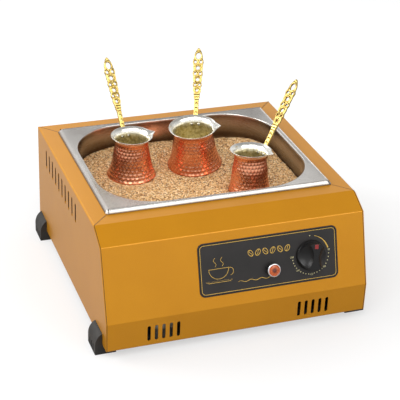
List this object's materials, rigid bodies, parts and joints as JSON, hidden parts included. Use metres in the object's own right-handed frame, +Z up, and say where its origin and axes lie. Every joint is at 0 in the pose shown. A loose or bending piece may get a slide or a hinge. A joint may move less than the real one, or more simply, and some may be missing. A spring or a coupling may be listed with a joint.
{
  "type": "electric turkish coffee maker",
  "caption": "Electric sand coffee maker: folded sheet housing with a leaning control panel, drop-in steel pan of hot sand and loose long-handled copper pots.",
  "frame": {"origin": "bottom centre of the bounding box, on the surface that the feet stand on", "axes": "+Z up; +Y from the control panel in front to the back; +X to the right seen from the front"},
  "size_m": [0.392, 0.3936, 0.2844],
  "materials": {
    "housing_paint": "gold metallic powder coat",
    "zinc_sheet": "galvanised sheet",
    "stainless": "brushed stainless",
    "screw_steel": "zinc plated",
    "foot_plastic": "black moulded plastic",
    "label_black": "black plate with gold printing",
    "knob_black": "black moulded plastic",
    "lamp_black": "black moulded plastic",
    "lamp_chrome": "bright ring",
    "lamp_amber": "amber lens",
    "lamp_white": "pale plastic body",
    "thermostat_case": "pale moulded case",
    "brass_fitting": "turned brass",
    "mineral_wool": "pressed wool mat",
    "element_sheath": "dark heated steel",
    "copper_tube": "drawn copper",
    "block_ceramic": "glazed ceramic",
    "gland_plastic": "black nylon",
    "coffee_sand": "loose brown sand",
    "hammered_copper": "hammered copper, tinned inside",
    "cast_brass": "polished cast brass"
  },
  "bodies": {
    "root": {"front_panel": "housing_paint", "right_side_panel": "housing_paint", "left_side_panel": "housing_paint", "back_panel": "housing_paint", "base_plate": "zinc_sheet", "base_screws": "screw_steel", "foot_screws": "screw_steel", "bracket_front_left": "zinc_sheet", "bracket_front_right": "zinc_sheet", "bracket_back_left": "zinc_sheet", "bracket_back_right": "zinc_sheet", "foot_front_left": "foot_plastic", "foot_front_right": "foot_plastic", "foot_back_left": "foot_plastic", "foot_back_right": "foot_plastic", "label_plate": "label_black", "thermostat_body": "thermostat_case", "thermostat_tabs": "brass_fitting", "thermostat_screws": "screw_steel", "lamp_shroud": "lamp_black", "lamp_bezel": "lamp_chrome", "lamp_lens": "lamp_amber", "lamp_body": "lamp_white", "lamp_nut": "lamp_white", "heater_tray": "stainless", "tray_spacers": "zinc_sheet", "tray_screws": "screw_steel", "insulation_mat": "mineral_wool", "reflector_plate": "stainless", "heating_element": "element_sheath", "element_supports": "zinc_sheet", "element_nuts": "brass_fitting", "sensing_bulb": "copper_tube", "bulb_clip": "zinc_sheet", "capillary_tube": "copper_tube", "terminal_block": "block_ceramic", "terminal_screws": "screw_steel", "earth_stud": "screw_steel", "cable_gland": "gland_plastic", "gland_nut": "gland_plastic"},
    "knob": {"thermostat_knob": "knob_black", "thermostat_shaft": "screw_steel"},
    "pan": {"gn_pan": "stainless", "sand_bed": "coffee_sand"},
    "cezve_1": {"cezve_1_body": "hammered_copper", "cezve_1_handle": "cast_brass", "cezve_1_rivets": "cast_brass"},
    "cezve_2": {"cezve_2_body": "hammered_copper", "cezve_2_handle": "cast_brass", "cezve_2_rivets": "cast_brass"},
    "cezve_3": {"cezve_3_body": "hammered_copper", "cezve_3_handle": "cast_brass", "cezve_3_rivets": "cast_brass"}
  },
  "joints": [
    {"name": "knob_turn", "type": "hinge", "parent": "root", "child": "knob", "pos_m": [0.1043, -0.17274, 0.10686], "axis": [0, 0.9543, -0.2987], "range_deg": [-8, 262]},
    {"name": "pan_lift", "type": "slide", "parent": "root", "child": "pan", "axis": [0, 0, 1], "range_m": [0, 0.12]},
    {"name": "cezve_1_lift", "type": "slide", "parent": "pan", "child": "cezve_1", "axis": [0, 0, 1], "range_m": [0, 0.08]},
    {"name": "cezve_2_lift", "type": "slide", "parent": "pan", "child": "cezve_2", "axis": [0, 0, 1], "range_m": [0, 0.08]},
    {"name": "cezve_3_lift", "type": "slide", "parent": "pan", "child": "cezve_3", "axis": [0, 0, 1], "range_m": [0, 0.08]}
  ]
}
